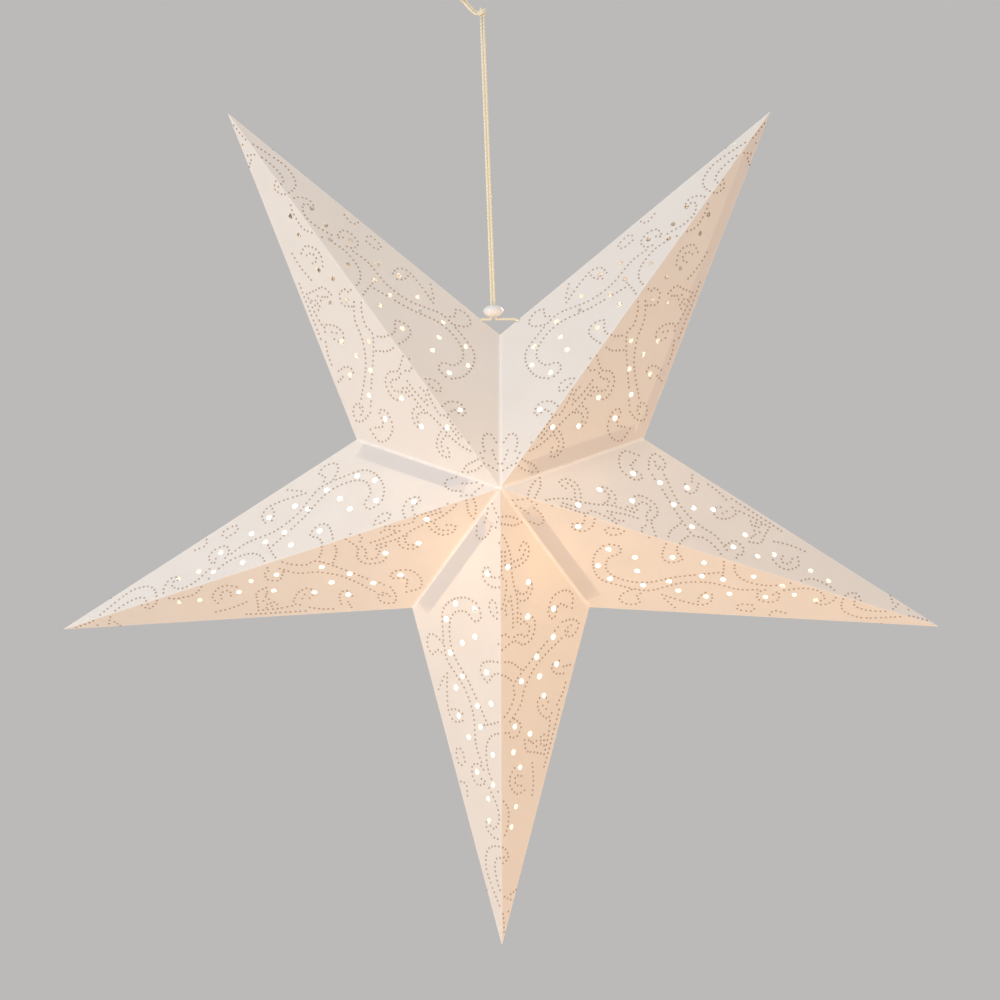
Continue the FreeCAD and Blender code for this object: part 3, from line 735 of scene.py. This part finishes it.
white = paper.mix(cloudy, (0.80, 0.775, 0.75, 1), (0.86, 0.845, 0.83, 1))
white = paper.mix(paper.step(pulp, 0.35, 0.7, 0.0, 0.35), white, (0.76, 0.73, 0.70, 1))
# Painted highlight: the paper is painted lighter along the valley, ridge and rim folds, broken up
# by noise.
fold_painted_highlight = paper.step(from_valley, 0.0008, 0.0018, 1.0, 0.0)
fold_painted_highlight = paper.math("MAXIMUM", fold_painted_highlight, paper.step(across, 0.0002, 0.0009, 0.6, 0.0))
fold_painted_highlight = paper.math("MAXIMUM", fold_painted_highlight, paper.step(from_rim, 0.0002, 0.0009, 0.6, 0.0))
fold_painted_highlight = paper.math("MULTIPLY", fold_painted_highlight, paper.step(paper.grain(260, 2), 0.3, 0.6, 0.6, 1.0))
squares = [paper.math("POWER", part, 2.0) for part in (along, across)]
from_centre = paper.math("POWER", paper.math("ADD", *squares), 0.5)
on_valley = paper.node("Attribute", attribute_name="valley_flap").outputs["Fac"]
# Painted shade: the paper is painted darker in bands over the glued flaps behind it, as their
# shade on the light through the paper.
over_flap = paper.math("LESS_THAN", from_valley, VALLEY_FLAP_WIDTH)
for test in (
    paper.math("GREATER_THAN", from_centre, VALLEY_FLAP_FROM),
    paper.math("LESS_THAN", from_centre, VALLEY_FLAP_TO),
    on_valley,
):
    over_flap = paper.math("MULTIPLY", over_flap, test)
on_rim = paper.node("Attribute", attribute_name="rim_flap").outputs["Fac"]
over_rim = paper.math("MULTIPLY", paper.math("LESS_THAN", from_rim, RIM_FLAP_WIDTH), on_rim)
flap_painted_shade = paper.math("MAXIMUM", over_flap, over_rim)
white = paper.mix(paper.math("MULTIPLY", flap_painted_shade, 0.5), white, (0.70, 0.655, 0.66, 1))
# The painted highlight along the folds goes into the paper colour.
white = paper.mix(fold_painted_highlight, white, (0.90, 0.895, 0.89, 1))
height = paper.math("ADD", paper.math("MULTIPLY", pulp, 0.6), paper.math("MULTIPLY", flecks, 0.4))
rough_paper = paper.relief(height, 0.00012, 0.5)
paper.finish(Base_Color=white, Normal=rough_paper)
through = paper.node("BsdfTranslucent")
warm = paper.mix(pulp, (0.97, 0.76, 0.56, 1), (1.0, 0.86, 0.70, 1))
paper.put(warm, through.inputs["Color"])
paper.put(rough_paper, through.inputs["Normal"])
backlit = paper.node("MixShader")
backlit.inputs[0].default_value = 0.072
paper.put(paper.shader.outputs[0], backlit.inputs[1])
paper.put(through.outputs[0], backlit.inputs[2])
paper.put(backlit.outputs[0], paper.out.inputs["Surface"])

# Painted shade: the burr round each pricked hole is painted brown.
burr = Finish("pricked_burr_painted_shade", Roughness=0.85)
burr_shade_tone = burr.grain(1400, 3)
burr.finish(
    Base_Color=burr.mix(burr_shade_tone, (0.36, 0.25, 0.17, 1), (0.52, 0.39, 0.30, 1)),
    Normal=burr.relief(burr_shade_tone, 0.00005, 0.5),
)
# Painted shade: the pit of each pricked hole is painted near black-brown for the shade in the
# hole.
pit_painted_shade = Finish("painted_shade_pit", Roughness=0.95)
pit_shade_tone = pit_painted_shade.grain(2500, 3)
pit_painted_shade.finish(
    Base_Color=pit_painted_shade.mix(pit_shade_tone, (0.07, 0.04, 0.022, 1), (0.19, 0.11, 0.065, 1)),
    Normal=pit_painted_shade.relief(pit_shade_tone, 0.00005, 0.5),
)

POINTS = (
    ("upper_right", 54),
    ("right", -18),
    ("bottom", -90),
    ("left", -162),
    ("upper_left", 126),
)
SEAM_HALVES = (("upper_right", "left"), ("upper_left", "right"))


def panel_place(angle, side, half):
    """Where a flat panel goes: X up the ridge from the front or back centre, Y to the notch."""
    facing = -1 if side == "front" else 1
    turn = 1 if half == "left" else -1
    centre = STAR_CENTRE + Vector((0, facing * HALF_DEPTH, 0))
    tip_angle = math.radians(angle)
    notch_angle = tip_angle + HALF_POINT * turn
    tip_way = Vector((math.cos(tip_angle), 0, math.sin(tip_angle)))
    notch_way = Vector((math.cos(notch_angle), 0, math.sin(notch_angle)))
    tip = STAR_CENTRE + TIP_RADIUS * tip_way
    notch = STAR_CENTRE + NOTCH_RADIUS * notch_way
    x_axis = (tip - centre).normalized()
    y_axis = notch - centre
    y_axis = (y_axis - x_axis * x_axis.dot(y_axis)).normalized()
    z_axis = x_axis.cross(y_axis)
    place = Matrix((x_axis, y_axis, z_axis)).transposed().to_4x4()
    place.translation = centre
    return place


flat = {half: with_sheet_map(flat_panel(half)) for half in ("left", "right")}
prick = one_prick()
pricks = {half: pricked_pattern(half, prick) for half in ("left", "right")}
string_hole = NOTCH + rim_way * STRING_HOLE_FROM_NOTCH
for point, angle in POINTS:
    for side in ("front", "back"):
        for half in ("left", "right"):
            mirrored = (point == "upper_right") != (side == "back")
            pattern = half if not mirrored else {"left": "right", "right": "left"}[half]
            body = "%s_%s_%s" % (point, side, half)
            panel = bpy.data.objects.new(body + "_paper", flat[pattern].data.copy())
            bpy.context.scene.collection.objects.link(panel)
            if (point, half) in SEAM_HALVES:
                start_new()
                bpy.ops.mesh.primitive_cylinder_add(
                    vertices=32, radius=STRING_HOLE_RADIUS, depth=0.01, location=(*string_hole, 0)
                )
                punch = bpy.context.object
                cut = panel.modifiers.new("string_hole", "BOOLEAN")
                cut.object = punch
                cut.solver = "EXACT"
                active(panel)
                bpy.ops.object.modifier_apply(modifier="string_hole")
                bpy.data.objects.remove(punch)
                with_sheet_map(panel)
            place = panel_place(angle, side, half)
            panel.data.transform(place)
            has_valley = half == "right" and (point, half) not in SEAM_HALVES
            has_rim = half == "right" and side == ("front" if point == "upper_right" else "back")
            for flap, there in (("valley_flap", has_valley), ("rim_flap", has_rim)):
                mark = panel.data.attributes.new(flap, "FLOAT", "POINT")
                mark.data.foreach_set("value", [float(there)] * len(panel.data.vertices))
            panel.data.materials.clear()
            panel.data.materials.append(paper.material)
            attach(panel, body)
            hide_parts("%s_point_%s_%s_panel" % (point, side, half))
            dots = bpy.data.objects.new(body + "_pricks", pricks[pattern].data.copy())
            bpy.context.scene.collection.objects.link(dots)
            dots.data.transform(place)
            dots.data.materials.clear()
            dots.data.materials.append(burr.material)
            dots.data.materials.append(pit_painted_shade.material)
            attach(dots, body)
for item in (*flat.values(), *pricks.values(), prick):
    bpy.data.objects.remove(item)

# ------------------------------------------------------------------ glue flaps
# Strips of the same paper, folded inwards along four valleys and one rim of each point and
# glued to the inside of the next panel. Over them the panels are painted with slightly darker
# bands of painted shade.
flap_paper = Finish("glued_flap_paper", Roughness=0.75, Specular_IOR_Level=0.25)
flap_pulp = flap_paper.grain(800, 5)
glue = flap_paper.grain(40, 3)
flap_white = flap_paper.mix(flap_pulp, (0.70, 0.66, 0.62, 1), (0.80, 0.77, 0.73, 1))
glued = flap_paper.step(glue, 0.45, 0.65, 0.0, 0.5)
flap_white = flap_paper.mix(glued, flap_white, (0.66, 0.60, 0.53, 1))
flap_paper.finish(Base_Color=flap_white, Normal=flap_paper.relief(flap_pulp, 0.00012, 0.6))
for name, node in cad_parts.items():
    if name.endswith("_flap"):
        node.data.materials.clear()
        node.data.materials.append(flap_paper.material)

# ------------------------------------------------------------------ lamp
# A self-contained battery lamp hangs by its wire hook on the string inside the star: a white
# plastic housing with three small cells and a slide switch, and a frosted globe below it.


def dress(names, material):
    for name in names:
        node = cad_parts[name]
        node.data.materials.clear()
        node.data.materials.append(material)


plastic = Finish("moulded_white_plastic", Specular_IOR_Level=0.5, Coat_Weight=0.1)
sparks = plastic.grain(1800, 3)
plastic.finish(
    Base_Color=plastic.mix(plastic.grain(30, 3), (0.72, 0.70, 0.66, 1), (0.78, 0.76, 0.73, 1)),
    Roughness=plastic.step(plastic.grain(120, 3), 0.3, 0.7, 0.36, 0.52),
    Normal=plastic.relief(sparks, 0.0001, 0.35),
)
dress(("battery_housing", "battery_cap"), plastic.material)

dark_plastic = Finish("black_switch_plastic", Roughness=0.5)
ribs = dark_plastic.node("TexWave", wave_type="BANDS", bands_direction="Z")
dark_plastic.put(dark_plastic.place(), ribs.inputs["Vector"])
ribs.inputs["Scale"].default_value = 300
black_tone = dark_plastic.grain(600, 3)
dark_plastic.finish(
    Base_Color=dark_plastic.mix(black_tone, (0.02, 0.02, 0.022, 1), (0.05, 0.05, 0.055, 1)),
    Normal=dark_plastic.relief(ribs.outputs["Fac"], 0.0004, 0.7),
)
dress(("switch_slider", "cell_holder"), dark_plastic.material)

steel = Finish("bright_steel", Metallic=1.0)
scratch = steel.grain(700, 4)
steel.finish(
    Base_Color=steel.mix(steel.grain(90, 3), (0.56, 0.55, 0.53, 1), (0.70, 0.69, 0.67, 1)),
    Roughness=steel.step(scratch, 0.3, 0.7, 0.2, 0.42),
    Normal=steel.relief(scratch, 0.00003, 0.4),
)
dress(("lamp_hook", "top_contact", "board_screws"), steel.material)

CELL_BARE_END = 0.0016
CELL_BAND = 0.011
sleeve = Finish("cell_sleeve", Roughness=0.3, Coat_Weight=0.4)
cell_height = sleeve.node("SeparateXYZ")
sleeve.put(sleeve.place(), cell_height.inputs[0])
cell_low, cell_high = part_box("battery_cell_1")
bare = sleeve.math("GREATER_THAN", cell_height.outputs[2], cell_high.z - CELL_BARE_END)
band = sleeve.math("GREATER_THAN", cell_height.outputs[2], cell_high.z - CELL_BAND)
print_tone = sleeve.mix(band, (0.035, 0.06, 0.05, 1), (0.62, 0.42, 0.16, 1))
rubbed = sleeve.step(sleeve.grain(500, 3), 0.4, 0.7, 0.0, 0.25)
print_tone = sleeve.mix(rubbed, print_tone, (0.2, 0.2, 0.2, 1))
sleeve.finish(
    Base_Color=sleeve.mix(bare, print_tone, (0.6, 0.59, 0.57, 1)),
    Metallic=bare,
    Normal=sleeve.relief(sleeve.grain(300, 2), 0.0001, 0.3),
)
dress(("battery_cell_1", "battery_cell_2", "battery_cell_3"), sleeve.material)

board = Finish("white_light_board", Roughness=0.35, Coat_Weight=0.3)
tracks = board.node("TexVoronoi", feature="DISTANCE_TO_EDGE")
board.put(board.place(), tracks.inputs["Vector"])
tracks.inputs["Scale"].default_value = 260
track = board.step(tracks.outputs["Distance"], 0.04, 0.07, 1.0, 0.0)
board.finish(
    Base_Color=board.mix(track, (0.72, 0.74, 0.72, 1), (0.60, 0.63, 0.60, 1)),
    Normal=board.relief(track, 0.00005, 0.6),
)
dress(("light_board",), board.material)

led = Finish("lit_led", Roughness=0.3)
led_tone = led.mix(led.grain(900, 2), (1.0, 0.78, 0.42, 1), (1.0, 0.86, 0.58, 1))
led.finish(Base_Color=led_tone, Emission_Color=led_tone, Emission_Strength=6.0)
dress(("leds",), led.material)

# Cone springs under the cells, wound from thin wire.
SPRING_CIRCLE = 0.0082
SPRING_FOOT_RADIUS = 0.0032
SPRING_TAPER = 0.0015
SPRING_TURNS = 3.4
SPRING_PLACES = 44
SPRING_BELOW_CELL = 0.003
cell_foot = cell_low.z
spring_pieces = []
for index in range(3):
    around = math.radians(90 + 120 * index)
    out = Vector((math.cos(around), math.sin(around), 0)) * SPRING_CIRCLE
    foot = Vector((STAR_CENTRE.x, 0, cell_foot - SPRING_BELOW_CELL)) + out
    coil = []
    for step in range(SPRING_PLACES):
        share = step / (SPRING_PLACES - 1)
        wound = math.tau * SPRING_TURNS * share
        radius = SPRING_FOOT_RADIUS - SPRING_TAPER * share
        height = 0.0003 + 0.0024 * share
        coil.append(foot + Vector((radius * math.cos(wound), radius * math.sin(wound), height)))
    spring_pieces.append(to_mesh(smooth_line("spring", coil, 0.0005, 3)))
coils = joined("wound_springs", spring_pieces)
coils.data.materials.clear()
coils.data.materials.append(steel.material)
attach(coils, "lamp_body")
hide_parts("cell_springs")

# Frosted globe, blown in one piece with its neck, open at the top.
globe_low, globe_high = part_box("globe")
GLOBE_RADIUS = 0.028
NECK_RADIUS = 0.02145
GLOBE_WALL = 0.0015
globe_middle = Vector((STAR_CENTRE.x, 0, globe_low.z + GLOBE_RADIUS))
neck_foot = globe_middle.z + math.sqrt(GLOBE_RADIUS**2 - NECK_RADIUS**2)
start_new()
bpy.ops.mesh.primitive_uv_sphere_add(
    segments=64, ring_count=40, radius=GLOBE_RADIUS, location=globe_middle
)
globe = bpy.context.object
globe.name = "frosted_globe"
bpy.ops.object.transform_apply()
bpy.ops.object.mode_set(mode="EDIT")
bpy.ops.mesh.select_all(action="SELECT")
bpy.ops.mesh.bisect(plane_co=(0, 0, neck_foot), plane_no=(0, 0, 1), clear_outer=True)
neck_rise = (0, 0, globe_high.z - neck_foot)
bpy.ops.mesh.extrude_region_move(TRANSFORM_OT_translate={"value": neck_rise})
bpy.ops.object.mode_set(mode="OBJECT")
wall = globe.modifiers.new("wall", "SOLIDIFY")
wall.thickness = GLOBE_WALL
wall.offset = -1
bpy.ops.object.modifier_apply(modifier="wall")
active(globe)
bpy.ops.object.shade_smooth_by_angle(angle=math.radians(35))
frosted = Finish("lit_frosted_globe", Roughness=0.5, Specular_IOR_Level=0.4)
frost = frosted.grain(1500, 3)
glow = frosted.mix(frosted.grain(60, 2), (1.0, 0.80, 0.55, 1), (1.0, 0.86, 0.66, 1))
frosted.finish(
    Base_Color=frosted.mix(frost, (0.80, 0.78, 0.74, 1), (0.86, 0.84, 0.80, 1)),
    Emission_Color=glow,
    Emission_Strength=2.2,
    Normal=frosted.relief(frost, 0.0001, 0.4),
)
globe.data.materials.append(frosted.material)
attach(globe, "lamp_body")
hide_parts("globe")
globe.visible_shadow = False

# The light of the LEDs, spread by the globe. The globe casts no shadow of it.
lamp_light = bpy.data.lights.new("lamp_light", "POINT")
lamp_light.energy = 2.9
lamp_light.shadow_soft_size = 0.02
lamp_light.color = (1.0, 0.87, 0.70)
lit = bpy.data.objects.new("lamp_light", lamp_light)
bpy.context.scene.collection.objects.link(lit)
lit.location = globe_middle
lit.visible_camera = False
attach(lit, "lamp_body")
